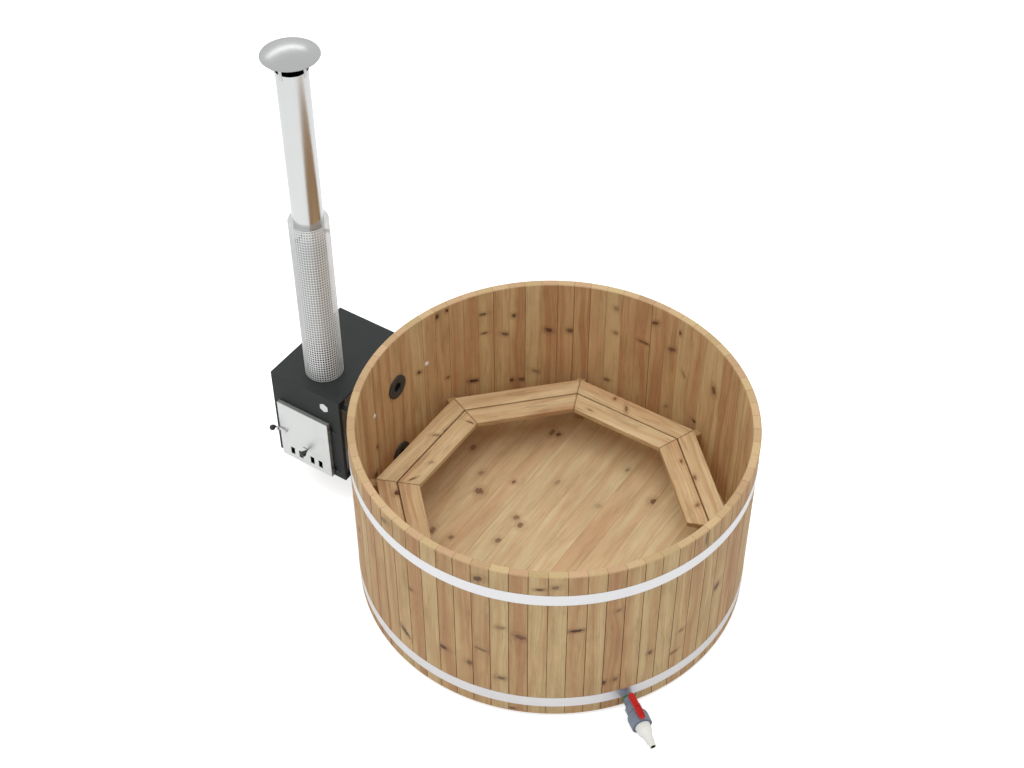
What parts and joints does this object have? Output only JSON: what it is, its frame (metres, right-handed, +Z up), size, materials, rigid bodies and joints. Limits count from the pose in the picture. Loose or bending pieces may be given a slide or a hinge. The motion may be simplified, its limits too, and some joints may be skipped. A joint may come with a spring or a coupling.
{
  "type": "wood-fired hot tub",
  "caption": "Round wooden hot tub with a bench along part of its wall, a wood-fired heater and chimney hung outside, and a floor drain with a lever valve.",
  "frame": {"origin": "on the ground under the centre of the tub", "axes": "+Z up along the tub's axis; the heater is on the -X side and its door faces -Y"},
  "size_m": [2.625, 2.0033, 2.753],
  "materials": {
    "stave_wood": "planed softwood, heat treated and oiled",
    "floor_wood": "planed softwood",
    "bench_wood": "planed softwood",
    "bearer_wood": "sawn softwood",
    "hoop_steel": "bright stainless band",
    "fastener_steel": "bright stainless",
    "casing_paint": "dark grey-green, semi-gloss",
    "tank_steel": "mill finish stainless",
    "heater_black": "black heat-proof paint",
    "firebox_steel": "mill finish stainless, sooted",
    "grate_iron": "raw casting",
    "black_rubber": "matte",
    "green_seal": "matte",
    "blue_grey_plastic": "moulded, satin",
    "red_plastic": "moulded, satin",
    "white_plastic": "moulded, satin",
    "black_knob": "polished",
    "door_grey": "dark grey, satin",
    "door_steel": "bright stainless",
    "mineral_board": "matte fireproof board",
    "gasket_cord": "woven glass fibre",
    "hinge_steel": "black, satin",
    "chimney_steel": "polished stainless",
    "guard_steel": "polished perforated stainless"
  },
  "bodies": {
    "tub": {"staves_heater_side": "stave_wood", "staves_back": "stave_wood", "staves_drain_side": "stave_wood", "staves_front": "stave_wood", "upper_hoop": "hoop_steel", "lower_hoop": "hoop_steel", "hoop_bolts": "fastener_steel", "hoop_nuts": "fastener_steel", "floor_boards": "floor_wood", "floor_bearers": "bearer_wood", "bench_inner_planks": "bench_wood", "bench_outer_planks": "bench_wood", "bench_brackets": "bearer_wood", "floor_drain": "fastener_steel", "drain_pipe": "blue_grey_plastic", "wall_seal": "green_seal", "valve_body": "blue_grey_plastic", "union_nut": "blue_grey_plastic", "union_end": "blue_grey_plastic", "hose_tail": "white_plastic", "heater_casing": "casing_paint", "water_tank": "tank_steel", "front_frame": "heater_black", "firebox": "firebox_steel", "fire_grate": "grate_iron", "baffle_plate": "firebox_steel", "flue_collar": "firebox_steel", "guard_seat": "firebox_steel", "water_pipes": "tank_steel", "pipe_flanges": "black_rubber", "heater_brackets": "heater_black", "bracket_bolts": "fastener_steel", "bracket_nuts": "fastener_steel", "badge_plate": "fastener_steel", "latch_keeper": "fastener_steel", "hinge_leaves": "hinge_steel", "hinge_pins": "hinge_steel", "casing_screws": "fastener_steel", "lower_smoke_pipe": "chimney_steel", "upper_smoke_pipe": "chimney_steel", "heat_guard": "guard_steel", "guard_spacers": "guard_steel", "cap_band": "chimney_steel", "cap_legs": "chimney_steel", "cap_bolt": "fastener_steel", "rain_cap": "chimney_steel"},
    "door": {"door_panel": "door_grey", "door_skin": "door_steel", "door_board": "mineral_board", "door_gasket": "gasket_cord", "door_knuckles": "hinge_steel", "damper_rails": "door_steel", "latch_stud": "fastener_steel"},
    "latch": {"latch_bar": "fastener_steel", "latch_knob": "black_knob"},
    "damper": {"damper_slide": "door_steel", "damper_knob": "black_knob"},
    "drain_lever": {"valve_ball": "chimney_steel", "valve_stem": "hinge_steel", "valve_lever": "red_plastic"}
  },
  "joints": [
    {"name": "door_hinge", "type": "hinge", "parent": "tub", "child": "door", "pos_m": [-1.174, -0.31, 0.403], "axis": [0, 0, 1], "range_deg": [0, 110]},
    {"name": "latch_turn", "type": "hinge", "parent": "door", "child": "latch", "pos_m": [-1.47, -0.3285, 0.403], "axis": [0, 1, 0], "range_deg": [0, 60]},
    {"name": "damper_slide", "type": "slide", "parent": "door", "child": "damper", "axis": [-1, 0, 0], "range_m": [0, 0.0275]},
    {"name": "drain_valve", "type": "hinge", "parent": "tub", "child": "drain_lever", "pos_m": [0.87163, -0.62748, 0.056], "axis": [0, 0, -1], "range_deg": [0, 90]}
  ]
}
